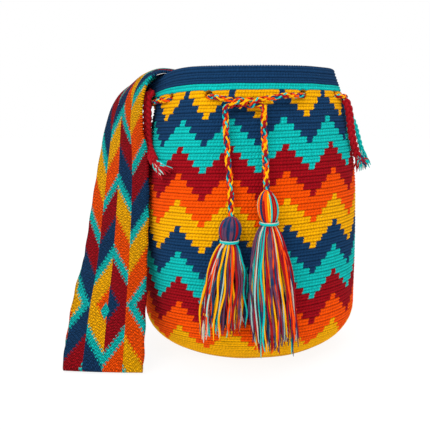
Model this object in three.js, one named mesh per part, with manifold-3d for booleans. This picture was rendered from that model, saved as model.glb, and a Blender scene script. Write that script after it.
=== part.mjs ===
// A crocheted bucket bag (mochila) that stands on its base with its woven strap laid down its left side.
// +X is the bag's right side, -Y its front and +Z up. The origin is the middle of the base, on the floor.
import * as THREE from "three";
import { mergeVertices } from "three/addons/utils/BufferGeometryUtils.js";
import Module from "manifold-3d";

const wasm = await Module();
wasm.setup();

// Driving dimensions, in millimetres.
const HALF_WIDTH = 108; // of the body at its widest
const HALF_DEPTH = 89;
const HEIGHT = 278;
const WALL = 5; // crocheted fabric
const BASE_HALF_WIDTH = 50; // flat part of the base
const EDGE_RISE = 43; // height at which the round base edge has become the wall
const TAPER_START = 125; // height above which the wall draws in to the mouth
const MOUTH_SHARE = 0.768; // mouth width as a share of HALF_WIDTH
const TAPER_POWER = 2.2;
const LEAN = 0.034; // the rows climb this much per millimetre towards the right
const LEAN_HEIGHT = 60; // full lean from this height up
const LEVEL_SHARE = 0.85; // of the lean is lost at the rim, except at the left
const LEVEL_START = 225;
const LEVEL_LEFT = -85;
const LIP_DROP = 12; // the rim sinks at the left under the strap
const LIP_BULGE = 20;
const LIP_TURN = 0.17; // from the left side back to the middle of the sunk lip
const LIP_REACH = Math.PI / 4; // how far round from its middle the lip goes
const LIP_FADE = 0.61;
const LIP_START = 240; // height where the lip starts to sink

const PERIODS = 12; // zigzag peaks round the body; the eyelets stand between them
const TURN = 0.013; // share of a turn between the front and the nearest valley
const EYELET_HEIGHT = 251;
const EYELET_WIDTH = 12.5;
const EYELET_RISE = 8.8;
const EYELETS = [1, 2, 3, 4, 5, 7, 8, 9, 10, 11]; // periods round from the front valley

const CORD = 4.8; // drawstring diameter
const CORD_CLEAR = 2.5; // between the cord and the fabric beside it
const KNOT_LEFT = -17;
const KNOT_RIGHT = 9;
const KNOT_TURNS = 1.5;
const KNOT_HEIGHT = 245;
const KNOT_Y = -83.6;
const KNOT_RADIUS = 2.75;
const CORD_GAP = 0.4; // between the knot and each tail, and between a tail and its tassel

const STRAP_THICKNESS = 2.6;
const BRAID_THICKNESS = 2.6;

const smooth = (value) => THREE.MathUtils.smoothstep(value, 0, 1);

const material = (color, roughness = 0.9) => new THREE.MeshStandardMaterial({ color, roughness, metalness: 0 });
const YELLOW = 0xf5a70a;
const NAVY = 0x16335f;
const TURQUOISE = 0x17b9b2;
const CRIMSON = 0x97101f;
const ORANGE = 0xf4520a;

function piece(name, geometry, color) {
  const mesh = new THREE.Mesh(geometry, material(color));
  mesh.name = name;
  return mesh;
}

function solidOf(geometry) {
  const plain = geometry.clone();
  plain.deleteAttribute("normal");
  plain.deleteAttribute("uv");
  const merged = mergeVertices(plain, 1e-4);
  return new wasm.Manifold(
    new wasm.Mesh({
      numProp: 3,
      vertProperties: merged.attributes.position.array,
      triVerts: new Uint32Array(merged.index.array),
    }),
  );
}

function geometryOf(solid) {
  const mesh = solid.getMesh();
  const geometry = new THREE.BufferGeometry();
  geometry.setAttribute("position", new THREE.BufferAttribute(mesh.vertProperties, 3));
  geometry.setIndex(new THREE.BufferAttribute(mesh.triVerts, 1));
  geometry.computeVertexNormals();
  return geometry;
}

function mapVertices(geometry, place) {
  const position = geometry.attributes.position;
  for (let i = 0; i < position.count; i++) {
    const { x, y, z } = place(new THREE.Vector3().fromBufferAttribute(position, i));
    position.setXYZ(i, x, y, z);
  }
  geometry.computeVertexNormals();
  return geometry;
}

// ---- the body's form ----

function outerRadius(z) {
  const taper = Math.max(0, (z - TAPER_START) / (HEIGHT - TAPER_START));
  const wall = HALF_WIDTH * (1 - (1 - MOUTH_SHARE) * taper ** TAPER_POWER);
  const below = Math.max(0, 1 - z / EDGE_RISE);
  return wall - (HALF_WIDTH - BASE_HALF_WIDTH) * (1 - Math.sqrt(1 - below * below));
}

// Takes a point of the round form to its place on the oval body, which leans and has a sunk left lip.
function bagForm(p) {
  const fromLip = Math.abs(Math.atan2(p.y, -p.x) - LIP_TURN);
  const lip = smooth((LIP_REACH - fromLip) / LIP_FADE);
  const sunk = lip * smooth((p.z - LIP_START) / (HEIGHT - LIP_START));
  const level = LEVEL_SHARE * smooth((p.z - LEVEL_START) / 45) * smooth((p.x - LEVEL_LEFT) / 35);
  const lean = LEAN * (1 - level) * p.x * Math.min(1, p.z / LEAN_HEIGHT);
  return new THREE.Vector3(
    p.x - LIP_BULGE * sunk,
    (p.y * HALF_DEPTH) / HALF_WIDTH,
    p.z + lean - LIP_DROP * sunk,
  );
}

// A point of the round form: turned by angle from the front towards the right, out of the outer face.
function roundForm(angle, z, out) {
  const radius = outerRadius(z) + out;
  return new THREE.Vector3(radius * Math.sin(angle), -radius * Math.cos(angle), z);
}

const onBag = (angle, z, out) => bagForm(roundForm(angle, z, out));

// The angle of the round form at a share of the way round the oval, from the front, counted in stitches.
function angleAt(share) {
  const steps = 720;
  const lengths = [0];
  for (let i = 0; i < steps; i++) {
    const angle = ((i + 0.5) / steps) * 2 * Math.PI;
    lengths.push(lengths[i] + Math.hypot(HALF_WIDTH * Math.cos(angle), HALF_DEPTH * Math.sin(angle)));
  }
  const wanted = (((share % 1) + 1) % 1) * lengths[steps];
  const i = lengths.findIndex((length) => length > wanted) - 1;
  const part = (wanted - lengths[i]) / (lengths[i + 1] - lengths[i]);
  return ((i + part) / steps) * 2 * Math.PI;
}

// ---- the crocheted body ----

function bodyProfile() {
  const levels = [0, 1, 4, 10, 20, EDGE_RISE, 85, TAPER_START, 165, 200, 228, 252, 268];
  const rim = WALL / 2;
  const profile = [new THREE.Vector2(0, 0)];
  for (const z of levels) profile.push(new THREE.Vector2(outerRadius(z), z));
  for (const turn of [0, 0.33, 0.67, 1]) {
    const around = turn * Math.PI;
    const middle = outerRadius(HEIGHT - rim) - rim;
    profile.push(new THREE.Vector2(middle + rim * Math.cos(around), HEIGHT - rim + rim * Math.sin(around)));
  }
  for (const z of [...levels].reverse()) {
    if (z > WALL + 1) profile.push(new THREE.Vector2(outerRadius(z) - WALL, z));
  }
  profile.push(new THREE.Vector2(outerRadius(WALL) - WALL, WALL + 1.5));
  profile.push(new THREE.Vector2(BASE_HALF_WIDTH - WALL, WALL));
  profile.push(new THREE.Vector2(0, WALL));
  return profile;
}

function eyeletCutter(angle) {
  const cutter = new THREE.CylinderGeometry(0.5, 0.5, 4 * WALL, 10);
  cutter.scale(EYELET_WIDTH, 1, EYELET_RISE);
  return mapVertices(cutter, (p) => {
    const middle = roundForm(angle, EYELET_HEIGHT, -WALL / 2 - p.y);
    middle.x += p.x * Math.cos(angle);
    middle.y += p.x * Math.sin(angle);
    middle.z += p.z;
    return bagForm(middle);
  });
}

function body() {
  const round = new THREE.LatheGeometry(bodyProfile(), 48);
  round.rotateX(Math.PI / 2);
  let solid = solidOf(mapVertices(round, bagForm));
  for (const period of EYELETS) {
    solid = solid.subtract(solidOf(eyeletCutter(angleAt(period / PERIODS + TURN))));
  }
  return piece("bag_body", geometryOf(solid), YELLOW);
}

// ---- bands: the strap and the strap-end braids ----

// A band between two edges. Each station is [near edge, far edge, bow], the bow moving the band's middle.
function bandGeometry(stations, thickness, across, along) {
  const curve = (index) =>
    new THREE.CatmullRomCurve3(stations.map((station) => new THREE.Vector3(...station[index])));
  const near = curve(0);
  const far = curve(1);
  const bow = curve(2);
  const point = (u, v) =>
    near
      .getPoint(v)
      .lerp(far.getPoint(v), (u + 1) / 2)
      .addScaledVector(bow.getPoint(v), 1 - u * u);
  const step = 1e-3;
  const flat = new THREE.BoxGeometry(2, 1, 1, across, along, 1);
  return mapVertices(flat, (p) => {
    const v = THREE.MathUtils.clamp(p.y + 0.5, 0, 1);
    const acrossBand = point(p.x + step, v).sub(point(p.x - step, v));
    const alongBand = point(p.x, Math.min(1, v + step)).sub(point(p.x, Math.max(0, v - step)));
    const normal = acrossBand.cross(alongBand).normalize();
    return point(p.x, v).addScaledVector(normal, p.z * thickness);
  });
}

// From the end sewn inside the rim at the right, along the back of the mouth, out over the left lip,
// down to the floor, folded there, and back up behind itself to the end sewn inside the rim at the left.
const STRAP = [
  [[70, -34, 258], [66, 38, 258], [12.6, 0, 0]],
  [[68, -34, 266], [63, 38, 266], [11.6, 0, 0]],
  [[63.5, -31, 273], [57, 37, 275], [9, 0, 2]],
  [[56, -22, 265], [50, 40, 274], [6, 0, 0]],
  [[50, -8, 236], [40, 47, 268], [3, 0, -2]],
  [[33, 8, 208], [22, 54, 256], [0, 4, -3]],
  [[6, 12, 203], [2, 57, 250], [0, 5, -3]],
  [[-22, 4, 220], [-20, 55, 254], [0, 4, -2]],
  [[-42, -6, 246], [-41, 49, 262], [0, 2, 0]],
  [[-61, -20, 269.5], [-62, 43, 276.5], [-1, 0, 1]],
  [[-79, -30, 274.8], [-87, 42, 282.5], [-3, 0, 1.5]],
  [[-92, -32, 270], [-106, 35, 276], [-5, 0, 1.5]],
  [[-99, -35, 256], [-120, 31, 268], [-5.5, -1, 1]],
  [[-101, -37, 240], [-137, 29, 254], [-3, -2, 0]],
  [[-100.5, -40, 221], [-147.5, 24, 231], [-2, -2, 0]],
  [[-95.5, -46, 196], [-153.5, 13, 197], [-2, -3, 0]],
  [[-95, -50, 155], [-160, -2, 149], [-1, -3, 0]],
  [[-97, -58, 98], [-167.5, -20, 88], [0, -3, 0]],
  [[-97, -71, 57], [-172, -46, 50], [0, -2, 0]],
  [[-97, -86, 18], [-173, -75, 17], [0, 0, 0]],
  [[-97.5, -90, 6], [-172.5, -85, 6], [0, -1, 0]],
  [[-98.5, -86.5, 1.8], [-172.5, -82, 1.8], [0, -1, 0]],
  [[-100, -79, 5.5], [-174, -74, 5.5], [0, 0, 0]],
  [[-101.5, -67, 22], [-177, -57, 22], [0, 1, 0]],
  [[-103.5, -53, 60], [-176.5, -24, 60], [0, 2, 0]],
  [[-105.5, -41, 100], [-170, 6, 100], [0, 2, 0]],
  [[-106.5, -29, 150], [-164, 22, 150], [0, 2, 0]],
  [[-105, -23, 200], [-155, 34, 200], [0, 1, 0]],
  [[-106, -19, 232], [-138.5, 41.5, 236], [-3, 0, 0]],
  [[-103.5, -20, 249], [-113, 46, 256], [-6, 0, -2]],
  [[-99.5, -17, 263], [-95, 46, 268], [-11, 0, -1]],
  [[-88.5, -18, 271.5], [-76, 46, 274.5], [-10.5, 0, -0.5]],
  [[-77, -19, 272], [-61, 41, 272.5], [-12.5, 0, -2]],
  [[-70, -18, 259], [-56.5, 37, 260], [-13.5, 0, -1]],
];

function strap() {
  return piece("strap", bandGeometry(STRAP, STRAP_THICKNESS, 6, 84), ORANGE);
}

// A braid on the bag's outer face. Each row is [angle in degrees, height, out, half width].
function braid(name, color, rows) {
  const stations = rows.map(([degrees, z, out, half]) => {
    const angle = THREE.MathUtils.degToRad(degrees);
    const middle = onBag(angle, z, out);
    const side = onBag(angle + 0.02, z, out).sub(onBag(angle - 0.02, z, out)).normalize();
    const near = middle.clone().addScaledVector(side, -half);
    const far = middle.clone().addScaledVector(side, half);
    return [near.toArray(), far.toArray(), [0, 0, 0]];
  });
  return piece(name, bandGeometry(stations, BRAID_THICKNESS, 2, 14), color);
}

const LEFT_BRAID = [
  [-70, 263, 3, 3],
  [-70, 257, 8.6, 3.8],
  [-69.5, 246, 8.8, 3.8],
  [-68.5, 232, 6.5, 3.8],
  [-67, 216, 4, 3.8],
  [-63, 206, 3.4, 4],
  [-54, 195, 4, 5.5],
  [-45, 187, 5.5, 6.5],
];
const RIGHT_BRAID = [
  [70, 247.5, 3.5, 3],
  [69.5, 240, 4.6, 3.8],
  [68.5, 232, 4.6, 3.8],
  [68, 218, 3.6, 3.8],
  [68.5, 205, 3.8, 4.2],
  [72, 193, 4.5, 6.5],
  [77, 183, 6, 8],
];
const RIGHT_BACK_BRAID = [
  [100, 243, 2, 2.6],
  [99, 236, 6, 3.2],
  [98, 222, 9.5, 3.2],
  [97.5, 208, 11, 3.4],
  [97, 196, 12.5, 6],
  [97, 182, 13.5, 7.5],
];

// ---- the drawstring ----

function tube(points, steps) {
  const section = new THREE.Shape();
  section.absarc(0, 0, CORD / 2, 0, 2 * Math.PI);
  const path = new THREE.CatmullRomCurve3(points);
  return new THREE.ExtrudeGeometry(section, { steps, curveSegments: 4, extrudePath: path });
}

// One of the two cords of the knot, from its right end to its left one, turning round the other.
function knotStrand(phase) {
  const points = [];
  const steps = 12;
  for (let i = 0; i <= steps; i++) {
    const share = i / steps;
    const turn = phase + share * KNOT_TURNS * 2 * Math.PI;
    points.push(
      new THREE.Vector3(
        KNOT_RIGHT + (KNOT_LEFT - KNOT_RIGHT) * share,
        KNOT_Y + KNOT_RADIUS * Math.cos(turn),
        KNOT_HEIGHT + KNOT_RADIUS * Math.sin(turn),
      ),
    );
  }
  return points;
}

// In and out through the eyelets, from the one left of the front round the back to the one right of it.
function threadedPoints() {
  const outside = CORD / 2 + CORD_CLEAR;
  const inside = -WALL - outside;
  const mm = 1 / 620; // share of the way round that a millimetre takes
  const points = [];
  const add = (share, out) => points.push(onBag(angleAt(share + TURN), EYELET_HEIGHT, out));
  let isOutside = true;
  [...EYELETS].reverse().forEach((period, index, order) => {
    const share = period / PERIODS;
    const [before, after] = isOutside ? [outside, inside] : [inside, outside];
    const middle = -WALL / 2;
    add(share + 9 * mm, before);
    add(share + 3.6 * mm, middle + (before - middle) * 0.72);
    add(share, middle);
    add(share - 3.6 * mm, middle + (after - middle) * 0.72);
    add(share - 9 * mm, after);
    isOutside = !isOutside;
    if (index < order.length - 1) {
      const next = order[index + 1] / PERIODS;
      const stretch = share - next;
      const stops = Math.round(stretch * PERIODS) * 2;
      for (let stop = 1; stop <= stops; stop++) {
        add(share - (stretch * stop) / (stops + 1), isOutside ? outside : inside);
      }
    }
  });
  return points;
}

const LEFT_TAIL = [
  [-20.5, -86.5, 236],
  [-20.2, -86.8, 227],
  [-19.6, -88, 214],
  [-18.6, -90.2, 198],
  [-17.2, -92.3, 182],
  [-16, -94.6, 166],
  [-15.6, -97, 149],
];
const RIGHT_TAIL = [
  [12.5, -86.5, 236],
  [12.4, -87, 227],
  [12.8, -88.6, 214],
  [13.6, -91, 198],
  [14.4, -94.4, 183],
  [14.7, -97, 170],
];

function drawstring() {
  const above = ([x, y, z], rise) => new THREE.Vector3(x, y, z + rise);
  const points = [
    above(RIGHT_TAIL[0], CORD_GAP),
    above(RIGHT_TAIL[0], CORD),
    ...knotStrand(-Math.PI / 2),
    new THREE.Vector3(-25, -82, 249),
    ...threadedPoints(),
    new THREE.Vector3(30, -80.5, 251),
    new THREE.Vector3(18, -82.5, 249),
    ...knotStrand(Math.PI / 2),
    above(LEFT_TAIL[0], CORD),
    above(LEFT_TAIL[0], CORD_GAP),
  ];
  return piece("drawstring", tube(points, 110), CRIMSON);
}

function tail(name, points) {
  return piece(name, tube(points.map((point) => new THREE.Vector3(...point)), 9), ORANGE);
}

// ---- tassels ----

// A yarn tassel: looped head, tied neck and skirt. It is flattened front to back and leans as it hangs.
const TASSEL_DEPTH = 0.58; // depth as a share of its width
const HEAD_HALF_WIDTH = 10.5;
const NECK_HALF_WIDTH = 6.5;
const TIE_HEIGHT = 6;
const TIE_THICKNESS = 2.4;
const TIE_GAP = 0.6;
const LEFT_TASSEL = { x: -15.6, lean: 0.06, y: -99.5, top: 148, tie: 127, bottom: 42, half: 20 };
const RIGHT_TASSEL = { x: 14.7, lean: -0.052, y: -99.5, top: 169, tie: 143, bottom: 28, half: 20 };

function hangTassel(geometry, { x, lean, y, top }) {
  geometry.rotateX(Math.PI / 2);
  return mapVertices(geometry, (p) => {
    return new THREE.Vector3(x + p.x + lean * (p.z - top), y + p.y * TASSEL_DEPTH, p.z);
  });
}

function tassel(name, color, form) {
  const { top, tie, bottom, half } = form;
  const head = top - tie;
  const skirt = tie - bottom;
  const profile = [
    [0, bottom],
    [half - 1, bottom],
    [half, bottom + 2],
    [half * 0.97, bottom + skirt * 0.3],
    [half * 0.86, bottom + skirt * 0.55],
    [half * 0.66, bottom + skirt * 0.8],
    [NECK_HALF_WIDTH + 1.5, tie - TIE_HEIGHT],
    [NECK_HALF_WIDTH, tie - TIE_HEIGHT * 0.6],
    [NECK_HALF_WIDTH, tie + TIE_HEIGHT * 0.6],
    [HEAD_HALF_WIDTH * 0.85, tie + head * 0.36],
    [HEAD_HALF_WIDTH, tie + head * 0.6],
    [HEAD_HALF_WIDTH * 0.8, tie + head * 0.84],
    [HEAD_HALF_WIDTH * 0.4, top],
    [0, top],
  ].map(([radius, z]) => new THREE.Vector2(radius, z));
  return piece(name, hangTassel(new THREE.LatheGeometry(profile, 16), form), color);
}

function tasselTie(name, color, form) {
  const inner = NECK_HALF_WIDTH + TIE_GAP;
  const outer = inner + TIE_THICKNESS;
  const half = TIE_HEIGHT / 2 - TIE_GAP;
  const { tie } = form;
  const profile = [
    [inner, tie - half],
    [outer - 0.8, tie - half],
    [outer, tie],
    [outer - 0.8, tie + half],
    [inner, tie + half],
    [inner, tie - half],
  ].map(([radius, z]) => new THREE.Vector2(radius, z));
  return piece(name, hangTassel(new THREE.LatheGeometry(profile, 16), form), color);
}

const bag = new THREE.Group();
bag.add(
  body(),
  strap(),
  braid("left_end_braid", CRIMSON, LEFT_BRAID),
  braid("right_end_braid", CRIMSON, RIGHT_BRAID),
  braid("right_back_braid", TURQUOISE, RIGHT_BACK_BRAID),
  drawstring(),
  tail("left_tail", LEFT_TAIL),
  tail("right_tail", RIGHT_TAIL),
  tassel("left_tassel", YELLOW, LEFT_TASSEL),
  tassel("right_tassel", NAVY, RIGHT_TASSEL),
  tasselTie("left_tassel_tie", TURQUOISE, LEFT_TASSEL),
  tasselTie("right_tassel_tie", TURQUOISE, RIGHT_TASSEL),
);

export default bag;
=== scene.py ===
import math
import random

import bmesh
import bpy
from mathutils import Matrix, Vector, noise


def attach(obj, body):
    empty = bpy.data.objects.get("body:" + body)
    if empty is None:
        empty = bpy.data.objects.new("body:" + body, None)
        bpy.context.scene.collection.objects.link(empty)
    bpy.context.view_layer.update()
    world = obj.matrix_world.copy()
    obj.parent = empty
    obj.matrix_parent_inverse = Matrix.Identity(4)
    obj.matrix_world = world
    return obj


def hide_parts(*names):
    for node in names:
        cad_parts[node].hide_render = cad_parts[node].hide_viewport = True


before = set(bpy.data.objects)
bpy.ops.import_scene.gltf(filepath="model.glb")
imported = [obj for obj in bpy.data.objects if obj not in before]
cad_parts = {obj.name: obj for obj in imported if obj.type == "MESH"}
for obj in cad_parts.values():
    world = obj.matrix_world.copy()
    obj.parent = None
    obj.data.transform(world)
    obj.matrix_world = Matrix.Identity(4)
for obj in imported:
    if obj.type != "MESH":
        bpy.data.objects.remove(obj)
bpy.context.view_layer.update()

mm = 0.001  # lengths are in millimetres until a piece is placed
fullTurn = 2 * math.pi

bodyForm = {
    "halfWidth": 108,
    "halfDepth": 89,
    "height": 278,
    "wall": 4.6,
    "baseHalfWidth": 50,
    "edgeRise": 43,  # height of the rounded edge between the base and the wall
    "taperStart": 125,  # the wall draws in above this height
    "mouthShare": 0.768,  # the mouth's width as a share of the body's
    "taperPower": 2.2,
    "lean": 0.034,  # the body rises to its right
    "leanHeight": 60,
    "levelShare": 0.85,  # share of the lean that is lost at the rim, except at the left
    "levelStart": 225,
    "levelRise": 45,
    "levelLeft": -85,
    "levelFade": 35,
    "lipDrop": 12,  # the strap pulls the rim down and outwards at the left
    "lipBulge": 20,
    "lipTurn": 0.17,
    "lipReach": math.pi / 4,
    "lipFade": 0.61,
    "lipStart": 240,
}
crochet = {
    "rowHeight": 5.98,
    "periods": 12,
    "stitchesPerPeriod": 16,
    "turn": 0.013,  # share of a turn between the front and the nearest valley
    "columnsPerStitch": 2,
    "navyRows": 3,  # rows are counted down from the rim
    "borderRows": 4,
    "bandRows": 4,
    "stepStitches": 2,
    "baseRow": 44,
    "fineRows": 46,  # rows below this one have a simpler relief
    "eyeletRow": 4,
    "eyelets": [1, 2, 3, 4, 5, 7, 8, 9, 10, 11],  # zigzags round from the front valley
    "eyeletHalfColumns": 3,
    # how much painted shade darkens the colour in the groove between rows, along the middle of a row and in
    # the gaps between stitches
    "grooveShade": 0.60,
    "middleShade": 0.50,
    "gapShade": 0.12,
}
yarnColours = {  # linear
    "yellow": (0.97, 0.44, 0.001),
    "navy": (0.008, 0.044, 0.122),
    "turquoise": (0.004, 0.52, 0.48),
    "crimson": (0.34, 0.004, 0.010),
    "orange": (0.98, 0.085, 0.001),
    "pale": (0.36, 0.60, 0.56),
    "lilac": (0.16, 0.05, 0.10),
}
bandOrder = ["yellow", "navy", "turquoise", "crimson", "orange"]


def smoothStep(value):
    value = min(1, max(0, value))
    return value * value * (3 - 2 * value)


def outerRadius(z):
    form = bodyForm
    taper = max(0, (z - form["taperStart"]) / (form["height"] - form["taperStart"]))
    wall = form["halfWidth"] * (1 - (1 - form["mouthShare"]) * taper ** form["taperPower"])
    below = min(1, max(0, 1 - z / form["edgeRise"]))
    return wall - (form["halfWidth"] - form["baseHalfWidth"]) * (1 - math.sqrt(1 - below * below))


def bagForm(x, y, z):
    form = bodyForm
    fromLip = abs(math.atan2(y, -x) - form["lipTurn"])
    lip = smoothStep((form["lipReach"] - fromLip) / form["lipFade"])
    sunk = lip * smoothStep((z - form["lipStart"]) / (form["height"] - form["lipStart"]))
    level = form["levelShare"] * smoothStep((z - form["levelStart"]) / form["levelRise"])
    level *= smoothStep((x - form["levelLeft"]) / form["levelFade"])
    lean = form["lean"] * (1 - level) * x * min(1, max(0, z / form["leanHeight"]))
    return Vector((
        x - form["lipBulge"] * sunk,
        y * form["halfDepth"] / form["halfWidth"],
        z + lean - form["lipDrop"] * sunk,
    ))


def onBag(angle, z, out):
    radius = outerRadius(z) + out
    return bagForm(radius * math.sin(angle), -radius * math.cos(angle), z)


def perimeterTable(steps=1440):
    lengths = [0]
    for i in range(steps):
        angle = (i + 0.5) / steps * fullTurn
        across = bodyForm["halfWidth"] * math.cos(angle)
        deep = bodyForm["halfDepth"] * math.sin(angle)
        lengths.append(lengths[-1] + math.hypot(across, deep))
    return lengths


perimeter = perimeterTable()


def angleAt(share):
    wanted = share % 1 * perimeter[-1]
    low, high = 0, len(perimeter) - 1
    while high - low > 1:
        middle = (low + high) // 2
        low, high = (middle, high) if perimeter[middle] <= wanted else (low, middle)
    part = (wanted - perimeter[low]) / (perimeter[high] - perimeter[low])
    return (low + part) / (len(perimeter) - 1) * fullTurn


def curvePoint(a, b, c, d, t):
    # the point at share t of the way from b to c, on a smooth curve through all four
    square = (2 * a - 5 * b + 4 * c - d) * t * t
    cube = (3 * b - a - 3 * c + d) * t ** 3
    return 0.5 * (2 * b + (c - a) * t + square + cube)


def smoothPath(points, step):
    # a smooth curve through the points, with a point at each step of length
    points = [Vector(p) for p in points]
    dense = []
    for i in range(len(points) - 1):
        a = points[max(0, i - 1)]
        b, c = points[i], points[i + 1]
        d = points[min(len(points) - 1, i + 2)]
        parts = max(2, math.ceil((c - b).length / step * 3))
        dense += [curvePoint(a, b, c, d, k / parts) for k in range(parts)]
    dense.append(points[-1])
    spaced = [dense[0]]
    travelled = 0
    for before, after in zip(dense, dense[1:]):
        travelled += (after - before).length
        if travelled >= step:
            spaced.append(after)
            travelled = 0
    if (spaced[-1] - dense[-1]).length > step * 0.4:
        spaced.append(dense[-1])
    else:
        spaced[-1] = dense[-1]
    return spaced


def framesAlong(path, side):
    # the side and the outward direction at each point, turning as little as they can
    frames = []
    side = Vector(side)
    for i in range(len(path)):
        ahead = (path[min(i + 1, len(path) - 1)] - path[max(i - 1, 0)]).normalized()
        side = (side - ahead * side.dot(ahead)).normalized()
        frames.append((side.copy(), ahead.cross(side)))
    return frames


def linked(name, data):
    thing = bpy.data.objects.new(name, data)
    bpy.context.scene.collection.objects.link(thing)
    return thing


def meshFrom(name, bm, material):
    mesh = bpy.data.meshes.new(name)
    bm.to_mesh(mesh)
    bm.free()
    mesh.materials.append(material)
    return mesh


def pick(sockets, key):
    if isinstance(key, int):
        return sockets[key]
    return next(socket for socket in sockets if socket.name == key and socket.enabled)


class Wire:
    # one output socket, so that shader maths reads as an expression
    def __init__(self, shader, socket):
        self.shader = shader
        self.socket = socket

    def maths(self, operation, *others, first=None):
        values = [self if first is None else first, *others]
        inputs = {i: value for i, value in enumerate(values)}
        return self.shader.add("ShaderNodeMath", {"operation": operation}, inputs)

    def __add__(self, other):
        return self.maths("ADD", other)

    __radd__ = __add__

    def __mul__(self, other):
        return self.maths("MULTIPLY", other)

    __rmul__ = __mul__

    def __sub__(self, other):
        return self.maths("SUBTRACT", other)

    def __rsub__(self, other):
        return self.maths("SUBTRACT", self, first=other)

    def __truediv__(self, other):
        return self.maths("DIVIDE", other)

    def __mod__(self, other):
        return self.maths("FLOORED_MODULO", other)

    def __lt__(self, other):
        return self.maths("LESS_THAN", other)

    def __gt__(self, other):
        return self.maths("GREATER_THAN", other)

    def __abs__(self):
        return self.maths("ABSOLUTE")

    def floor(self):
        return self.maths("FLOOR")

    def sine(self):
        return self.maths("SINE")

    def least(self, other):
        return self.maths("MINIMUM", other)

    def most(self, other):
        return self.maths("MAXIMUM", other)


class Shader:
    def __init__(self, name):
        self.material = bpy.data.materials.new(name)
        self.material.use_nodes = True
        self.tree = self.material.node_tree
        self.tree.nodes.clear()

    def add(self, kind, settings=None, inputs=None, output=0):
        node = self.tree.nodes.new(kind)
        for key, value in (settings or {}).items():
            if key == "stops":
                fillRamp(node.color_ramp, value)
            else:
                setattr(node, key, value)
        for key, value in (inputs or {}).items():
            socket = pick(node.inputs, key)
            if isinstance(value, Wire):
                self.tree.links.new(value.socket, socket)
            else:
                socket.default_value = value
        return Wire(self, pick(node.outputs, output))

    def separate(self, vector):
        node = self.add("ShaderNodeSeparateXYZ", None, {"Vector": vector}).socket.node
        return [Wire(self, socket) for socket in node.outputs]

    def combine(self, x, y, z=0.0):
        return self.add("ShaderNodeCombineXYZ", None, {"X": x, "Y": y, "Z": z})

    def steps(self, index, names):
        # one flat colour for each whole number
        stops = [(i / len(names), (*yarnColours[name], 1)) for i, name in enumerate(names)]
        settings = {"stops": ("CONSTANT", stops)}
        return self.add("ShaderNodeValToRGB", settings, {"Fac": (index + 0.5) / len(names)}, "Color")

    def noise(self, place, scale, detail, roughness=0.5):
        inputs = {"Vector": place, "Scale": scale, "Detail": detail, "Roughness": roughness}
        return self.add("ShaderNodeTexNoise", None, inputs, "Fac")

    def chance(self, cell):
        # one random value for each whole-numbered cell
        return self.add("ShaderNodeTexWhiteNoise", {"noise_dimensions": "3D"}, {"Vector": cell}, "Value")

    def mix(self, factor, a, b, blend="MIX"):
        settings = {"data_type": "RGBA", "blend_type": blend}
        return self.add("ShaderNodeMix", settings, {"Factor": factor, "A": a, "B": b}, "Result")

    def shaded(self, colour, shade):
        return self.mix(1.0, colour, self.combine(shade, shade, shade), "MULTIPLY")

    def close(self, surface):
        output = self.tree.nodes.new("ShaderNodeOutputMaterial")
        self.tree.links.new(surface.socket, output.inputs["Surface"])

    def finish(self, colour, height, distance, roughness=0.9, sheen=0.01):
        bump = {"Strength": 1.0, "Distance": distance, "Height": height}
        inputs = {
            "Base Color": colour,
            "Roughness": roughness,
            "Normal": self.add("ShaderNodeBump", None, bump, "Normal"),
            "Specular IOR Level": 0.02,
            "Sheen Weight": sheen,
            "Sheen Roughness": 0.6,
        }
        self.close(self.add("ShaderNodeBsdfPrincipled", None, inputs, "BSDF"))
        return self.material


def fillRamp(ramp, value):
    interpolation, stops = value
    ramp.interpolation = interpolation
    while len(ramp.elements) < len(stops):
        ramp.elements.new(1)
    for element, (position, colour) in zip(ramp.elements, stops):
        element.position = position
        element.color = colour


def grey(value):
    return (value, value, value, 1)


def looseYarn(name, first, second=None, spacing=70.0):
    # spun yarn; where a second colour is given, the yarn changes between the two along its length
    shader = Shader(name)
    place = shader.add("ShaderNodeTexCoord", None, None, "Object")
    fine = shader.noise(place, 1500.0, 2.0, 0.7)
    broad = shader.noise(place, spacing, 1.0)
    colour = (*first, 1)
    if second:
        limits = {"Value": broad, "From Min": 0.42, "From Max": 0.58}
        change = shader.add("ShaderNodeMapRange", None, limits, "Result")
        colour = shader.mix(change, colour, (*second, 1))
    colour = shader.shaded(colour, 0.66 + fine * 0.40 + broad * 0.26)
    return shader.finish(colour, fine, 0.0005, 0.85, 0.03)


def makeYarnMaterials():
    made = {name: looseYarn(name + "Yarn", yarnColours[name]) for name in bandOrder}
    made["pale"] = looseYarn("paleYarn", yarnColours["pale"], (0.62, 0.50, 0.42))
    made["lilac"] = looseYarn("lilacYarn", yarnColours["lilac"], yarnColours["navy"])
    made["rust"] = looseYarn("rustYarn", yarnColours["orange"], yarnColours["crimson"])
    return made


yarnOrder = [*bandOrder, "pale", "lilac", "rust"]


def layYarns(name, yarns, sides=1):
    # each yarn is (points, radius or list of radii, colour name)
    curve = bpy.data.curves.new(name, "CURVE")
    curve.dimensions = "3D"
    curve.bevel_depth = mm
    curve.bevel_resolution = sides
    curve.use_fill_caps = True
    for colour in yarnOrder:
        curve.materials.append(yarnMaterials[colour])
    for points, radii, colour in yarns:
        spline = curve.splines.new("POLY")
        spline.points.add(len(points) - 1)
        for i, (point, target) in enumerate(zip(points, spline.points)):
            target.co = (*(Vector(point) * mm), 1)
            target.radius = radii[i] if isinstance(radii, list) else radii
        spline.material_index = yarnOrder.index(colour)
    laid = linked(name + "Curve", curve)
    graph = bpy.context.evaluated_depsgraph_get()
    mesh = bpy.data.meshes.new_from_object(laid.evaluated_get(graph))
    bpy.data.objects.remove(laid)
    mesh.name = name
    for polygon in mesh.polygons:
        polygon.use_smooth = True
    return linked(name, mesh)


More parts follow.
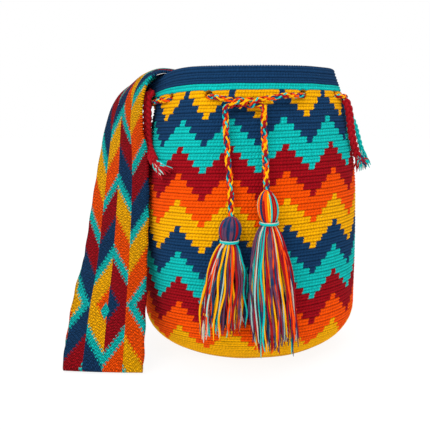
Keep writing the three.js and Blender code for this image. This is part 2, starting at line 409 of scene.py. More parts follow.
def plaitYarns(route, colours, cordRadius, lay, side, phase=0.0, step=1.0):
    # the yarns of a round plait: half of them turn each way, once in each lay, over and under the others
    path = smoothPath(route, step)
    frames = framesAlong(path, side)
    yarnRadius = cordRadius * 0.31
    ring = cordRadius - yarnRadius
    yarns = []
    for k, colour in enumerate(colours):
        way = 1 if k % 2 else -1
        points = []
        for i, (point, (across, out)) in enumerate(zip(path, frames)):
            travelled = i * step / lay * fullTurn
            turn = phase + way * travelled + k // 2 / len(colours) * 2 * fullTurn
            far = ring - 0.3 * yarnRadius + 0.45 * yarnRadius * way * math.cos(travelled * len(colours) / 2)
            points.append(point + far * (across * math.cos(turn) + out * math.sin(turn)))
        yarns.append((points, yarnRadius, colour))
    return yarns, path


def placed(piece, slotName, *nodes):
    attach(piece, "root")
    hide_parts(*nodes)
    return piece


def routeLength(points):
    return sum((b - a).length for a, b in zip(points, points[1:])) * mm


def makeCamera():
    look = {"place": (0, -0.582, 0.232), "down": 0.168, "lens": 47.8, "sideways": -0.08}
    data = bpy.data.cameras.new("camera")
    data.sensor_width = 36
    data.lens = look["lens"]
    data.shift_x = look["sideways"]
    camera = linked("camera", data)
    camera.location = look["place"]
    camera.rotation_euler = (math.pi / 2 - look["down"], 0, 0)
    bpy.context.scene.camera = camera


makeCamera()
yarnMaterials = makeYarnMaterials()
print("camera and yarns ready")


cordLook = {  # the drawstring and its two free tails
    "radius": 2.85,
    "lay": 22,
    "colours": ["yellow", "orange", "crimson", "navy", "turquoise", "crimson", "rust", "yellow"],
}
tails = {  # each cord runs on inside its tassel, through the last three points
    "left": {
        "phase": 0.4,
        "route": [
            (-20.5, -86.5, 236),
            (-20.2, -86.8, 227),
            (-19.6, -88, 214),
            (-18.6, -90.2, 198),
            (-17.2, -92.3, 182),
            (-16, -94.6, 166),
            (-15.6, -97, 149),
            (-16.4, -99.5, 136),
            (-17.6, -99.5, 116),
            (-18.7, -99.5, 98),
        ],
    },
    "right": {
        "phase": 2.1,
        "route": [
            (12.5, -86.5, 236),
            (12.4, -87, 227),
            (12.8, -88.6, 214),
            (13.6, -91, 198),
            (14.4, -94.4, 183),
            (14.7, -97, 170),
            (15.6, -99.5, 158),
            (16.8, -99.5, 136),
            (17.9, -99.5, 114),
        ],
    },
}


def makeTail(name, tail):
    colours, radius, lay = cordLook["colours"], cordLook["radius"], cordLook["lay"]
    yarns, path = plaitYarns(tail["route"], colours, radius, lay, (1, 0, 0), tail["phase"])
    return layYarns(name, yarns, 2), path


tasselLooks = {
    "left": {
        "x": -15.6, "y": -99.5, "top": 148, "tie": 127, "bottom": 46, "half": 23, "lean": 0.085,
        "head": 10.2, "neck": 6.2, "count": 132, "seed": 5,
        "headColours": ["lilac", "navy", "lilac", "crimson", "crimson", "lilac", "navy", "lilac"],
        "stray": {"x": -37, "knot": 63, "end": 37, "colours": ["turquoise", "pale", "yellow", "turquoise"]},
    },
    "right": {
        "x": 14.7, "y": -99.5, "top": 171, "tie": 143, "bottom": 30, "half": 25, "lean": -0.078,
        "head": 10.2, "neck": 6.2, "count": 144, "seed": 11,
        "headColours": ["orange", "crimson", "turquoise", "yellow", "rust", "pale", "navy", "orange"],
    },
}
tasselMake = {  # what both tassels share
    "depth": 0.58,  # front to back, as a share of the width
    "skirtGap": 1.9,  # between the middle of a yarn and the wall behind it
    "headGap": 1.6,
    "perClump": 4,
    "skirtColours": [
        "yellow", "orange", "rust", "crimson", "lilac", "lilac", "navy", "turquoise", "pale", "pale",
        "yellow", "crimson",
    ],
}


def frontWall(x, z):
    radius = outerRadius(max(z, 0))
    share = min(0.999, abs(x) / radius)
    return -radius * bodyForm["halfDepth"] / bodyForm["halfWidth"] * math.sqrt(1 - share * share)


def clearOfWall(point, gap):
    point.y = min(point.y, frontWall(point.x, point.z) - gap)
    return point


def tasselCentre(look, z):
    return look["x"] + look["lean"] * (z - look["top"])


def makeTasselSkirt(name, look):
    draw = random.Random(look["seed"])
    yarns = []
    clump = {}
    for i in range(look["count"]):
        if i % tasselMake["perClump"] == 0:
            clump = {
                "angle": draw.random() * fullTurn,
                "rho": 0.15 + 0.85 * math.sqrt(draw.random()),
                "sway": draw.uniform(-3, 3),
                "phase": draw.random() * fullTurn,
                "length": draw.uniform(0.84, 1.0),
            }
        angle = clump["angle"] + draw.uniform(-0.5, 0.5)
        rho = min(1, max(0.1, clump["rho"] + draw.uniform(-0.12, 0.12)))
        colour = draw.choice(tasselMake["skirtColours"])
        share = min(1, clump["length"] * draw.uniform(0.94, 1.03))
        length = (look["tie"] - look["bottom"]) * share
        wave = draw.uniform(0.3, 1.3)
        wavePhase = draw.random() * fullTurn
        spread = look["half"] * draw.uniform(0.86, 1.06)
        points = []
        steps = 19
        for k in range(steps + 1):
            t = k / steps  # the yarn arches over the tie, spreads and sways
            z = look["tie"] - length * t + 3.2 * math.sin(math.pi * min(1, t * 4)) * rho
            radius = rho * (look["neck"] - 1.5 + (spread - look["neck"]) * (1 - (1 - t) ** 3.4))
            sway = clump["sway"] * t * math.sin(clump["phase"] + t * 3.4)
            sway += wave * min(1, t * 3) * math.sin(wavePhase + t * 11)
            point = Vector((
                tasselCentre(look, z) + radius * math.cos(angle) + sway,
                look["y"] + tasselMake["depth"] * radius * math.sin(angle) + sway * 0.3,
                z,
            ))
            points.append(clearOfWall(point, tasselMake["skirtGap"]))
        radii = [draw.uniform(0.75, 1.05)] * (steps + 1)
        radii[-2:] = [radii[0] * 0.8, radii[0] * 0.4]
        yarns.append((points, radii, colour))
        fan = Vector((draw.uniform(-1.6, 1.6), draw.uniform(-1, 0.4), -draw.uniform(3, 6)))  # the frayed end
        yarns.append(([points[-2], points[-1] + fan * 0.4, points[-1] + fan], [0.6, 0.45, 0.25], colour))
    if "stray" in look:
        yarns += strayBundle(look, look["stray"], draw)
    return layYarns(name, yarns)


def strayX(look, stray, share):
    start = tasselCentre(look, look["tie"]) - 4
    return start + (stray["x"] - look["x"] + 4) * (1 - (1 - share) ** 2.4)


def strayBundle(look, stray, draw):
    # a few yarns longer than the rest, knotted together above their loose ends
    yarns = []
    y = look["y"] - 4.5
    for i in range(9):
        colour = stray["colours"][i % len(stray["colours"])]
        swing = draw.uniform(-1, 1)
        low = stray["end"] + draw.uniform(0, 7)
        points = []
        steps = 16
        for k in range(steps + 1):
            t = k / steps
            z = look["tie"] - 1 + (low - look["tie"]) * t
            pinch = min(1, abs(z - stray["knot"]) / 14)
            x = strayX(look, stray, t) + swing * (0.7 + 3.6 * pinch * t)
            points.append(clearOfWall(Vector((x, y + swing, z)), tasselMake["skirtGap"]))
        yarns.append((points, [0.95] * (steps - 1) + [0.7, 0.35], colour))
    ring = []
    perTurn = 12
    for k in range(2 * perTurn + 1):
        angle = k / perTurn * fullTurn
        z = stray["knot"] + 1.2 - k / perTurn
        x = strayX(look, stray, (look["tie"] - z) / (look["tie"] - stray["end"]))
        ring.append(Vector((x + 1.9 * math.cos(angle), y + 1.9 * math.sin(angle), z)))
    yarns.append((ring, 0.8, "yellow"))
    return yarns


def makeTasselHead(name, look):
    draw = random.Random(look["seed"] + 100)
    yarns = []
    half = (look["top"] - look["tie"]) / 1.87  # the head's foot is cut off by the tie
    middle = look["top"] - half
    loops = 26
    for i in range(loops):
        angle = i / loops * math.pi + draw.uniform(-0.08, 0.08)
        bulge = look["head"] * draw.uniform(0.72, 1.0) - (i % 3) * 0.8
        points = []
        steps = 20
        for k in range(steps + 1):
            around = math.radians(-62 + 304 * k / steps)
            z = middle + (half - (i % 3) * 0.6) * math.sin(around)
            radius = bulge * math.cos(around)
            point = Vector((
                tasselCentre(look, z) + radius * math.cos(angle),
                look["y"] + (tasselMake["depth"] + 0.08) * radius * math.sin(angle),
                z,
            ))
            points.append(clearOfWall(point, tasselMake["headGap"]))
        yarns.append((points, draw.uniform(0.95, 1.15), draw.choice(look["headColours"])))
    inner = 9
    for i in range(inner):
        angle = i / inner * fullTurn
        x = look["neck"] * 0.5 * math.cos(angle)
        y = look["y"] + look["neck"] * 0.35 * math.sin(angle)
        low = Vector((tasselCentre(look, look["tie"]) + x, y, look["tie"] - 4))
        high = Vector((tasselCentre(look, look["top"]) + x * 0.4, y, look["top"] - 5))
        yarns.append(([low, (low + high) / 2, high], 1.2, draw.choice(look["headColours"])))
    return layYarns(name, yarns)


def makeTasselTie(name, look, colours):
    points = []
    turns = 2.2
    steps = 60
    radius = look["neck"] + 1.6
    for k in range(steps + 1):
        angle = k / steps * turns * fullTurn
        z = look["tie"] + 0.8 - 1.6 * k / steps + 0.5 * math.sin(angle)
        points.append(Vector((
            tasselCentre(look, z) + radius * math.cos(angle),
            look["y"] + radius * 0.7 * math.sin(angle),
            z,
        )))
    above = [point + Vector((0, 0, 0.8)) for point in points]
    return layYarns(name, [(points, 0.75, colours[0]), (above, 0.5, colours[1])])


def makeTailsAndTassels():
    for side, look in tasselLooks.items():
        tail, path = makeTail(side + "TailCord", tails[side])
        placed(tail, "mixed_yarn", side + "_tail")
        skirt = placed(makeTasselSkirt(side + "TasselSkirt", look), "mixed_yarn", side + "_tassel")
        head = placed(makeTasselHead(side + "TasselHead", look), "mixed_yarn", side + "_tassel")
        tie = makeTasselTie(side + "TasselBinding", look, ["turquoise", "pale"])
        placed(tie, "turquoise_yarn", side + "_tassel_tie")
        tuple(path[0] * mm)
        routeLength(path)


makeTailsAndTassels()
print("tails and tassels done")


braidLooks = {  # the plaited strap ends; each row is degrees round from the front, height, and distance out
    "leftEndBraid": {
        "node": "left_end_braid", "slot": "crimson_yarn", "seed": 27, "threads": 30,
        "colours": ["crimson"] * 3, "fringe": ["crimson"] * 6 + ["turquoise", "pale"],
        "halfWidth": 3.0, "yarnRadius": 1.9,
        "rows": [(-70, 263, 3), (-70, 257, 8.6), (-69.5, 246, 8.8), (-68.5, 232, 6.5), (-67, 216, 4),
                 (-63, 206, 3.4), (-54, 195, 4), (-45, 187, 5.5)],
    },
    "rightEndBraid": {
        "node": "right_end_braid", "slot": "crimson_yarn", "seed": 22, "threads": 18,
        "colours": ["crimson"] * 3, "fringe": ["crimson"] * 5 + ["navy", "turquoise", "navy"],
        "halfWidth": 2.4, "yarnRadius": 1.7,
        "rows": [(70, 247.5, 3.5), (69.5, 240, 4.6), (68.5, 232, 4.6), (68, 218, 3.6), (68.5, 205, 3.8),
                 (72, 193, 4.5), (77, 183, 6)],
    },
    "rightBackBraid": {
        "node": "right_back_braid", "slot": "turquoise_yarn", "seed": 23, "threads": 13,
        "colours": ["turquoise"] * 3, "fringe": ["turquoise", "pale", "turquoise", "navy"],
        "halfWidth": 1.4, "yarnRadius": 1.15,
        "rows": [(100, 243, 2), (99, 236, 6), (98, 222, 9.5), (97.5, 208, 11), (97, 196, 12.5),
                 (97, 182, 13.5)],
    },
}
plait = {"thickness": 1.0, "lay": 15}


def braidRoute(rows):
    return [onBag(math.radians(degrees), z, out + 1.2) for degrees, z, out in rows]


def makeBraid(name, look):
    path = smoothPath(braidRoute(look["rows"][:-1]), 1.0)
    frames = framesAlong(path, (1, 0.25 * math.copysign(1, path[0].x), 0))
    yarns = []
    for k, colour in enumerate(look["colours"]):
        points = []
        for i, (point, (across, out)) in enumerate(zip(path, frames)):
            turn = i / plait["lay"] * fullTurn + k / 3 * fullTurn
            sideways = across * look["halfWidth"] * math.sin(turn)
            points.append(point + sideways + out * plait["thickness"] * math.sin(2 * turn))
        yarns.append((points, look["yarnRadius"], colour))
    return layYarns(name, yarns, 2), path, frames


def makeFringe(name, look, path, frames):
    draw = random.Random(look["seed"])
    start = path[-1]
    end = braidRoute(look["rows"])[-1]
    across, _ = frames[-1]
    yarns = []
    for i in range(look["threads"]):
        place = draw.uniform(-1, 1)
        reach = draw.uniform(0.75, 1.5)
        curl = draw.uniform(-1.6, 1.6)
        points = []
        steps = 8
        for k in range(steps + 1):
            t = k / steps
            spread = 2.0 + 6.5 * t ** 1.4
            sideways = across * (place * spread + curl * math.sin(t * 5))
            jitter = Vector((0, draw.uniform(-0.25, 0.25), 0))
            points.append(start + (end - start) * t * reach + sideways + jitter)
        yarns.append((points, [0.85] * (steps - 1) + [0.6, 0.3], draw.choice(look["fringe"])))
    return layYarns(name, yarns)


def makeBraids():
    for name, look in braidLooks.items():
        braid, path, frames = makeBraid(name, look)
        placed(braid, look["slot"], look["node"])
        fringe = makeFringe(name + "Fringe", look, path, frames)
        placed(fringe, look["slot"], look["node"])
        tuple(path[0] * mm)
        routeLength(path)


makeBraids()
print("braids done")


drawstring = {  # threaded through the eyelets, and knotted at the front
    "height": 251,
    "gap": 0.6,
    "thickness": 0.9,  # as a share of the tails' thickness
    "knot": {"left": -17, "right": 9, "turns": 1.5, "height": 245, "y": -83.6, "radius": 2.75},
}


def knotStrand(phase):
    knot = drawstring["knot"]
    steps = 12
    points = []
    for i in range(steps + 1):
        share = i / steps
        turn = phase + share * knot["turns"] * fullTurn
        points.append(Vector((
            knot["right"] + (knot["left"] - knot["right"]) * share,
            knot["y"] + knot["radius"] * math.cos(turn),
            knot["height"] + knot["radius"] * math.sin(turn),
        )))
    return points


def threadedRoute():
    outside = cordLook["radius"] + drawstring["gap"]
    inside = -bodyForm["wall"] - outside
    middle = -bodyForm["wall"] / 2
    step = 1 / 620  # share of the way round that a millimetre takes
    height = drawstring["height"]
    points = []
    isOutside = True
    order = crochet["eyelets"][::-1]
    for index, eyelet in enumerate(order):
        share = eyelet / crochet["periods"] + crochet["turn"]
        before, after = (outside, inside) if isOutside else (inside, outside)
        for move, out in (
            (8, before), (3.4, middle + (before - middle) * 0.7), (0, middle),
            (-3.4, middle + (after - middle) * 0.7), (-8, after),
        ):
            points.append(onBag(angleAt(share + move * step), height, out))
        isOutside = not isOutside
        if index < len(order) - 1:
            stretch = (eyelet - order[index + 1]) / crochet["periods"]
            stops = round(stretch * crochet["periods"]) * 2
            for stop in range(1, stops + 1):
                out = outside if isOutside else inside
                points.append(onBag(angleAt(share - stretch * stop / (stops + 1)), height, out))
    return points


def aboveTail(side, rise):
    return Vector(tails[side]["route"][0]) + Vector((0, 0, rise))


def makeDrawstring():
    route = [
        aboveTail("right", 0.2), aboveTail("right", 5), *knotStrand(-math.pi / 2), (-25, -82, 249),
        *threadedRoute(),
        (30, -80.5, 251), (18, -82.5, 249), *knotStrand(math.pi / 2),
        aboveTail("left", 5), aboveTail("left", 0.2),
    ]
    radius = cordLook["radius"] * drawstring["thickness"]
    yarns, _ = plaitYarns(route, cordLook["colours"], radius, cordLook["lay"], (1, 0, 0), 0, 1.3)
    placed(layYarns("drawstringCord", yarns, 1), "mixed_yarn", "drawstring")


makeDrawstring()
print("drawstring done")


strap = {
    "thickness": 2.4,
    "across": 32,  # steps of its mesh
    "along": 440,
    "patternHeight": 57,  # where the pattern's middle lies on the front layer
    "patternLeft": -100,
    "period": 70,  # of the stripes along the band
    "rise": 27,  # of a stripe across a quarter of the band
    "stripe": 13,
    "firstStripe": 25,
    "outerShift": 32,
    "threadWidth": 2.6,
    "dashes": 8.6,  # of a thread in a quarter of the band
    "wobble": 5,
    "crossing": 3.4,  # how far threads of both colours cross where two stripes meet
}
# each station is the near edge, the far edge, and how far the band's middle bows
strapStations = [
    [(70, -34, 258), (66, 38, 258), (12.6, 0, 0)],
    [(68, -34, 266), (63, 38, 266), (11.6, 0, 0)],
    [(63.5, -31, 273), (57, 37, 275), (9, 0, 2)],
    [(56, -22, 265), (50, 40, 274), (6, 0, 0)],
    [(50, -8, 236), (40, 47, 268), (3, 0, -2)],
    [(33, 8, 208), (22, 54, 256), (0, 4, -3)],
    [(6, 12, 203), (2, 57, 250), (0, 5, -3)],
    [(-22, 4, 220), (-20, 55, 254), (0, 4, -2)],
    [(-42, -6, 246), (-41, 49, 262), (0, 2, 0)],
    [(-61, -20, 269.5), (-62, 43, 276.5), (-1, 0, 1)],
    [(-79, -30, 274.8), (-87, 42, 282.5), (-3, 0, 1.5)],
    [(-92, -32, 270), (-106, 35, 276), (-5, 0, 1.5)],
    [(-99, -35, 256), (-120, 31, 268), (-5.5, -1, 1)],
    [(-101, -37, 240), (-137, 29, 254), (-3, -2, 0)],
    [(-100.5, -40, 221), (-147.5, 24, 231), (-2, -2, 0)],
    [(-95.5, -46, 196), (-153.5, 13, 197), (-2, -3, 0)],
    [(-95, -50, 155), (-160, -2, 149), (-1, -3, 0)],
    [(-97, -58, 98), (-167.5, -20, 88), (0, -3, 0)],
    [(-97, -71, 57), (-172, -46, 50), (0, -2, 0)],
    [(-97, -86, 18), (-173, -75, 17), (0, 0, 0)],
    [(-97.5, -90, 6), (-172.5, -85, 6), (0, -1, 0)],
    [(-98.5, -86.5, 1.8), (-172.5, -82, 1.8), (0, -1, 0)],
    [(-100, -79, 5.5), (-174, -74, 5.5), (0, 0, 0)],
    [(-101.5, -67, 22), (-177, -57, 22), (0, 1, 0)],
    [(-103.5, -53, 60), (-176.5, -24, 60), (0, 2, 0)],
    [(-105.5, -41, 100), (-170, 6, 100), (0, 2, 0)],
    [(-106.5, -29, 150), (-164, 22, 150), (0, 2, 0)],
    [(-105, -23, 200), (-155, 34, 200), (0, 1, 0)],
    [(-106, -19, 232), (-138.5, 41.5, 236), (-3, 0, 0)],
    [(-103.5, -20, 249), (-113, 46, 256), (-6, 0, -2)],
    [(-99.5, -17, 263), (-95, 46, 268), (-11, 0, -1)],
    [(-88.5, -18, 271.5), (-76, 46, 274.5), (-10.5, 0, -0.5)],
    [(-77, -19, 272), (-61, 41, 272.5), (-12.5, 0, -2)],
    [(-70, -18, 259), (-56.5, 37, 260), (-13.5, 0, -1)],
]


def throughStations(index, share):
    last = len(strapStations) - 1
    place = share * last
    i = min(int(place), last - 1)
    nearest = [strapStations[min(max(k, 0), last)][index] for k in range(i - 1, i + 3)]
    return curvePoint(*(Vector(station) for station in nearest), place - i)


def strapPoint(across, share):
    near, far, bow = (throughStations(index, share) for index in range(3))
    return near.lerp(far, (across + 1) / 2) + bow * (1 - across * across)


def strapDistances(steps):
    # how far along the strap each share is, measured from the middle of its pattern
    middles = [strapPoint(0, i / steps) for i in range(steps + 1)]
    lengths = [0]
    for a, b in zip(middles, middles[1:]):
        lengths.append(lengths[-1] + (b - a).length)
    left, height = strap["patternLeft"], strap["patternHeight"]
    start = next(i for i in range(1, steps) if middles[i].x < left and middles[i].z < height)
    return [lengths[start] - length for length in lengths], lengths[-1]


def wovenYarn():
    # UV: across the band from 0 to 1, and metres along it from the middle of the pattern, plus 1
    shader = Shader("wovenYarn")
    place = shader.add("ShaderNodeUVMap", {"uv_map": "weave"}, None, "UV")
    u, v, _ = shader.separate(place)
    across = u * 2 - 1
    along = (v - 1) * 1000
    period = strap["period"]
    stripe = strap["stripe"]
    side = abs(across)
    outer = side > 0.5
    within = abs(side - 0.5) * 2  # 0 at the quarter lines, 1 at the middle and at the edges
    wobble = shader.noise(place, 60.0, 1.0)
    climb = abs(along) - within * strap["rise"]
    start = strap["firstStripe"] - outer * strap["outerShift"]
    steps = climb + (wobble - 0.5) * strap["wobble"]
    thread = (steps / strap["threadWidth"]).floor()
    inThread = steps / strap["threadWidth"] - thread
    lengthwise = within * strap["dashes"] + (thread % 2) * 0.5
    dash = lengthwise - lengthwise.floor()
    woven = steps + ((dash > 0.5) - 0.5) * strap["crossing"]
    fromStripe = woven - start + stripe / 2
    pair = (fromStripe / period).floor()
    phase = fromStripe - pair * period
    isStripe = phase < stripe
    second = phase > stripe + (period - stripe) / 2
    isRight = across > 0
    warm = ((pair + isRight) % 2) > 0.5
    index = (1 - isStripe) * (1 + second + warm * 2)
    diamond = (abs(across + 0.06) * 8 + abs(along + 6) * 0.12) < 1  # at the middle of the pattern
    index = index * (1 - diamond)
    colour = shader.steps(index, ["turquoise", "navy", "crimson", "orange", "yellow"])

    chance = shader.chance(shader.combine(thread, lengthwise.floor(), isRight))
    grain = shader.noise(place, 900.0, 2.0, 0.7)
    between = (abs(inThread - 0.5) * 2).maths("POWER", 1.5)
    ends = (abs(dash - 0.5) * 2).maths("POWER", 2.2)
    # painted shade: darker in the gaps between threads and towards the ends of each dash, while chance and
    # grain are the yarn's own uneven tone
    shade = (0.90 + chance * 0.34 + grain * 0.34) * (1 - between * 0.85) * (1 - ends * 0.55)
    colour = shader.shaded(colour, shade)
    height = (1 - between) * (1 - ends * 0.5) + grain * 0.3
    return shader.finish(colour, height, 0.0011)


def makeStrap():
    bm = bmesh.new()
    bmesh.ops.create_grid(bm, x_segments=strap["across"], y_segments=strap["along"], size=1)
    uv = bm.loops.layers.uv.new("weave")
    distances, length = strapDistances(strap["along"])
    for face in bm.faces:
        for loop in face.loops:
            x, y, _ = loop.vert.co
            step = round((y + 1) / 2 * strap["along"])
            loop[uv].uv = ((1 - x) / 2, 1 + distances[step] * mm)
        face.smooth = True
    for vert in bm.verts:
        x, y, _ = vert.co
        share = (y + 1) / 2
        travelled = distances[round(share * strap["along"])]
        wavy = 0.5 * abs(x) ** 6 * math.sin(travelled / 4.1)
        vert.co = strapPoint(x * (1 + wavy / 40), share) * mm
    bmesh.ops.recalc_face_normals(bm, faces=bm.faces)
    piece = linked("wovenStrap", meshFrom("wovenStrap", bm, wovenYarn()))
    thick = piece.modifiers.new("thickness", "SOLIDIFY")
    thick.thickness = strap["thickness"] * mm
    thick.offset = 0
    placed(piece, "strap_weave", "strap")
    print("strap length", round(length))


relief = {  # how far each part of the crochet stands out
    "groove": 0.75,
    "ridge": 0.5,
    "middle": -0.15,
    "stitch": 0.22,
    "rim": 0.55,
    "border": 1.6,
    "uneven": 0.5,
    "sway": 0.35,
}


def crochetYarn():
    # UV: stitches round from the front, and rows down from the rim
    shader = Shader("crochetYarn")
    place = shader.add("ShaderNodeUVMap", {"uv_map": "stitches"}, None, "UV")
    across, down, _ = shader.separate(place)
    row = down.floor()
    inRow = down - row
    rough = shader.noise(place, 2.6, 3.0)
    period = crochet["stitchesPerPeriod"]
    shift = crochet["turn"] * period * crochet["periods"]
    slanted = across - shift + (inRow - 0.5) * 0.5
    stitch = slanted.floor()
    inStitch = slanted - stitch
    cell = (slanted + (rough - 0.5) * 1.5).floor()
    fromPeak = abs((cell + 0.5) % period - period / 2)
    band = ((row - crochet["borderRows"]) / crochet["bandRows"]).floor()
    rowInBand = row - crochet["borderRows"] - band * crochet["bandRows"]
    isNext = fromPeak < rowInBand * crochet["stepStitches"] + 1
    bands = shader.steps((band + isNext) % len(bandOrder), bandOrder)
    border = shader.steps(row > crochet["navyRows"] - 0.5, ["navy", "turquoise"])
    base = (*yarnColours["yellow"], 1)
    colour = shader.mix(row < crochet["borderRows"] - 0.5, bands, border)
    colour = shader.mix(row > crochet["baseRow"] - 0.5, colour, base)

    chance = shader.chance(shader.combine(stitch, row))
    grain = shader.noise(place, 3.1, 3.0, 0.7)
    broad = shader.noise(place, 0.11, 2.0)
    value = 0.80 + chance * 0.12 + grain * 0.50 + broad * 0.16
    uneven = inRow - 0.5 + (rough - 0.5) * 0.26
    groove = (abs(uneven) * 2).least(1).maths("POWER", 3)
    middle = (1 - abs(uneven + 0.04) * 4.5).most(0)
    gap = (abs(inStitch - 0.5) * 2).maths("POWER", 4)
    # painted shade: the colour is darker in the groove between rows, along the middle of each row and in the
    # gaps between stitches, while value is the yarn's own uneven tone
    shade = value * (1 - groove * crochet["grooveShade"]) * (1 - middle * crochet["middleShade"])
    colour = shader.shaded(colour, shade * (1 - gap * crochet["gapShade"]))

    strand = (across * fullTurn + inRow * 5.2).sine()
    ply = (across * fullTurn * 4.0 - inRow * 16).sine()
    height = (1 - groove) * 0.5 + strand * 0.2 + ply * 0.08 + grain * 0.4 - gap * 0.2 - middle * 0.3
    return shader.finish(colour, height, 0.0010)


def profileTable():
    # points down the outside from the rim and in to the middle of the base, with the length so far
    table = []
    length = 0
    z = bodyForm["height"]
    before = None
    while z > 0:
        point = (outerRadius(z), z)
        if before:
            length += math.hypot(point[0] - before[0], point[1] - before[1])
        table.append((length, *point))
        before = point
        z -= 1 if z > 6 else 0.1  # finer where the edge turns in to the base
    length += math.hypot(bodyForm["baseHalfWidth"] - before[0], before[1])
    table.append((length, bodyForm["baseHalfWidth"], 0))
    table.append((length + bodyForm["baseHalfWidth"], 0, 0))
    return table


def alongProfile(table, length):
    for (l0, r0, z0), (l1, r1, z1) in zip(table, table[1:]):
        if length <= l1:
            t = (length - l0) / (l1 - l0) if l1 > l0 else 0
            slope = Vector((z0 - z1, r1 - r0)).normalized()
            return r0 + (r1 - r0) * t, z0 + (z1 - z0) * t, slope
    return 0, 0, Vector((0, -1))


def bodyLevels():
    # each level is (row coordinate, depth inwards from the outer face, height over or under it)
    table = profileTable()
    rows = table[-1][0] / crochet["rowHeight"]
    bump = [-relief["groove"], relief["ridge"] * 0.8, relief["middle"], relief["ridge"]]
    outside = [(k / 4, 0, bump[k % 4]) for k in range(1, crochet["fineRows"] * 4)]
    row = float(crochet["fineRows"])
    while row < rows - 1:
        outside.append((row, 0, -relief["groove"] * 0.6))
        outside.append((row + 0.5, 0, relief["ridge"]))
        row += 1
    rim = [(0.16, 0, 0.0), (0, 0.8, 0), (-0.06, 2.3, 0), (0, 3.8, 0)]
    wall = bodyForm["wall"]
    inside = [(row, wall, 0) for row in (0.4, 1, 2, 3, 4, 4.25, 4.5, 4.75, 5)]
    row = 6.5
    while row < rows - 1:
        inside.append((row, wall, 0))
        row += 2.6
    return table, rows, outside[::-1], rim, inside


def makeBody():
    table, rows, outside, rim, inside = bodyLevels()
    levels = outside + rim + inside
    columns = crochet["periods"] * crochet["stitchesPerPeriod"] * crochet["columnsPerStitch"]
    bm = bmesh.new()
    levelOf = bm.verts.layers.int.new("level")
    chain = []
    for i, (row, deep, _) in enumerate(levels):
        vert = bm.verts.new((0, 1 + deep, -row))
        vert[levelOf] = i + 1
        chain.append(vert)
    low = bm.verts.new((0, 0, -rows))
    high = bm.verts.new((0, 0, -rows + 1))
    chain = [low, *chain, high]
    edges = [bm.edges.new(pair) for pair in zip(chain, chain[1:])]
    bmesh.ops.spin(
        bm, geom=chain + edges, cent=(0, 0, 0), axis=(0, 0, 1), angle=fullTurn, steps=columns, use_merge=True,
    )
    poles = [vert for vert in bm.verts if vert[levelOf] == 0]
    bmesh.ops.remove_doubles(bm, verts=poles, dist=1e-4)

    columnOf = bm.verts.layers.int.new("column")
    for vert in bm.verts:
        turn = math.atan2(-vert.co.x, vert.co.y) / fullTurn
        vert[columnOf] = round(turn * columns) % columns
    cutEyelets(bm, levels, levelOf, columnOf, columns)
    nameStitches(bm, levels, rows, levelOf, columnOf, columns)
    angles = [angleAt(0.5 + column / columns) for column in range(columns)]
    for vert in bm.verts:
        level = vert[levelOf]
        if level == 0:
            vert.co = Vector((0, 0, 0 if vert.co.z < -rows + 0.5 else bodyForm["wall"])) * mm
            continue
        vert.co = bodyPoint(table, levels[level - 1], vert[columnOf], columns, angles) * mm
    bmesh.ops.recalc_face_normals(bm, faces=bm.faces)
    mesh = meshFrom("crochetBody", bm, crochetYarn())
    for polygon in mesh.polygons:
        polygon.use_smooth = True
    placed(linked("crochetBody", mesh), "crochet", "bag_body")
    print("body triangles", sum(len(p.vertices) - 2 for p in mesh.polygons))


def eyeletColumns(columns):
    perPeriod = crochet["stitchesPerPeriod"] * crochet["columnsPerStitch"]
    shift = columns // 2 + round(crochet["turn"] * columns)
    return [(eyelet * perPeriod + shift) % columns for eyelet in crochet["eyelets"]]


def columnsFrom(centre, column, columns):
    return (column - centre + columns // 2) % columns - columns // 2


def inEyelet(row, column, columns):
    # where the stitch is across and down from the middle of the nearest eyelet: 1 is the eyelet's edge
    if not 2 < row < 7:
        return None
    half = crochet["eyeletHalfColumns"]
    for centre in eyeletColumns(columns):
        off = columnsFrom(centre, column, columns)
        if abs(off) <= half * 2:
            return off / half, (row - crochet["eyeletRow"] - 0.5) / 0.5
    return None


def cutEyelets(bm, levels, levelOf, columnOf, columns):
    def isCut(vert):
        if vert[levelOf] == 0:
            return False
        place = inEyelet(levels[vert[levelOf] - 1][0], vert[columnOf], columns)
        return place and max(abs(place[0]), abs(place[1])) < 1.01

    doomed = [face for face in bm.faces if all(isCut(vert) for vert in face.verts)]
    bmesh.ops.delete(bm, geom=doomed, context="FACES")
    loose = [edge for edge in bm.edges if edge.is_boundary]
    half = crochet["eyeletHalfColumns"]
    for centre in eyeletColumns(columns):
        ring = [edge for edge in loose if abs(columnsFrom(centre, edge.verts[0][columnOf], columns)) <= half]
        bmesh.ops.bridge_loops(bm, edges=ring)  # joins the cut outside to the cut inside


def nameStitches(bm, levels, rows, levelOf, columnOf, columns):
    # UV: stitches round from the front, and rows down from the rim
    uv = bm.loops.layers.uv.new("stitches")
    per = crochet["columnsPerStitch"]
    for face in bm.faces:
        places = [loop.vert[columnOf] for loop in face.loops if loop.vert[levelOf]]
        wraps = max(places) - min(places) > columns / 2
        for loop in face.loops:
            level = loop.vert[levelOf]
            column = loop.vert[columnOf] if level else sum(places) / len(places)
            if wraps and column < columns / 2:
                column += columns
            row = levels[level - 1][0] if level else rows
            loop[uv].uv = ((column - columns / 2) / per, row)


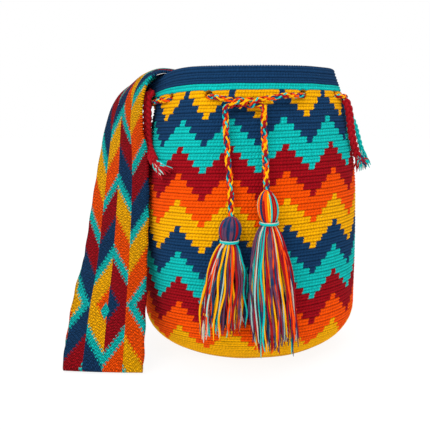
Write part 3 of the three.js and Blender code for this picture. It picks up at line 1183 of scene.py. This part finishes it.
def bodyPoint(table, level, column, columns, angles):
    row, deep, proud = level
    place = inEyelet(row, column, columns)
    shiftAcross, shiftDown = 0, 0  # draw the stitches round an eyelet into a circle
    if place:
        a, b = place
        reach = max(abs(a), abs(b))
        if reach < 2 and abs(b) < 2:
            fade = 1 if reach <= 1.01 else 2 - reach
            a, b = a / max(1, reach), b / max(1, reach)
            shiftAcross = a * (math.sqrt(max(0, 1 - b * b / 2)) - 1) * fade * crochet["eyeletHalfColumns"]
            shiftDown = b * (math.sqrt(max(0, 1 - a * a / 2)) - 1) * fade * 0.5
    radius, z, slope = alongProfile(table, max(0, row + shiftDown) * crochet["rowHeight"])
    angle = angles[column]
    if shiftAcross:
        nextAngle = angles[(column + 1) % columns]
        angle += ((nextAngle - angle + math.pi) % fullTurn - math.pi) * shiftAcross
    out = -deep
    if proud:
        slant = column + (row % 1) * 0.9
        out += proud + relief["stitch"] * math.cos(slant * math.pi)
    out += relief["uneven"] * noise.noise(Vector((math.sin(angle) * 3, math.cos(angle) * 3, row / 7)))
    if row < 0:
        z -= row * 10  # the rounded top of the rim
    if row < 0.2:
        z += relief["rim"] * math.cos(column * math.pi)
    radius += out * slope.x
    z += out * slope.y
    if row < 8 and not deep:
        z += relief["border"] * math.exp(-((row - 3.6) / 1.5) ** 2)
    if 1 < row < crochet["baseRow"]:
        z += relief["sway"] * noise.noise(Vector((math.sin(angle) * 4, math.cos(angle) * 4, row / 3 + 9)))
    return bagForm(radius * math.sin(angle), -radius * math.cos(angle), max(z, 0.0))


makeBody()
makeStrap()


def makeFloor():
    bm = bmesh.new()
    bmesh.ops.create_grid(bm, x_segments=1, y_segments=1, size=6)
    shader = Shader("paleFloor")
    diffuse = shader.add("ShaderNodeBsdfDiffuse", None, {"Color": grey(0.9)}, "BSDF")
    glow = shader.add("ShaderNodeEmission", None, {"Color": grey(1), "Strength": 1.03}, "Emission")
    both = shader.add("ShaderNodeMixShader", None, {0: 0.86, 1: diffuse, 2: glow}, "Shader")
    shader.close(both)
    floor = linked("floor", meshFrom("floor", bm, shader.material))


def addLight(name, place, target, size, power):
    data = bpy.data.lights.new(name, "AREA")
    data.size = size
    data.energy = power
    light = linked(name, data)
    light.location = place
    light.rotation_euler = (Vector(target) - Vector(place)).to_track_quat("-Z", "Y").to_euler()


def makeLight():
    world = bpy.data.worlds.new("studio")
    bpy.context.scene.world = world
    world.use_nodes = True
    background = world.node_tree.nodes["Background"]
    background.inputs["Color"].default_value = grey(1)
    background.inputs["Strength"].default_value = 1.0
    addLight("key", (-0.9, -1.5, 1.5), (0, 0, 0.12), 1.2, 18)
    addLight("top", (0.5, -0.4, 1.9), (0, 0, 0.15), 1.4, 10)
    bpy.context.scene.view_settings.view_transform = "Standard"


makeFloor()
makeLight()
print("stage done")
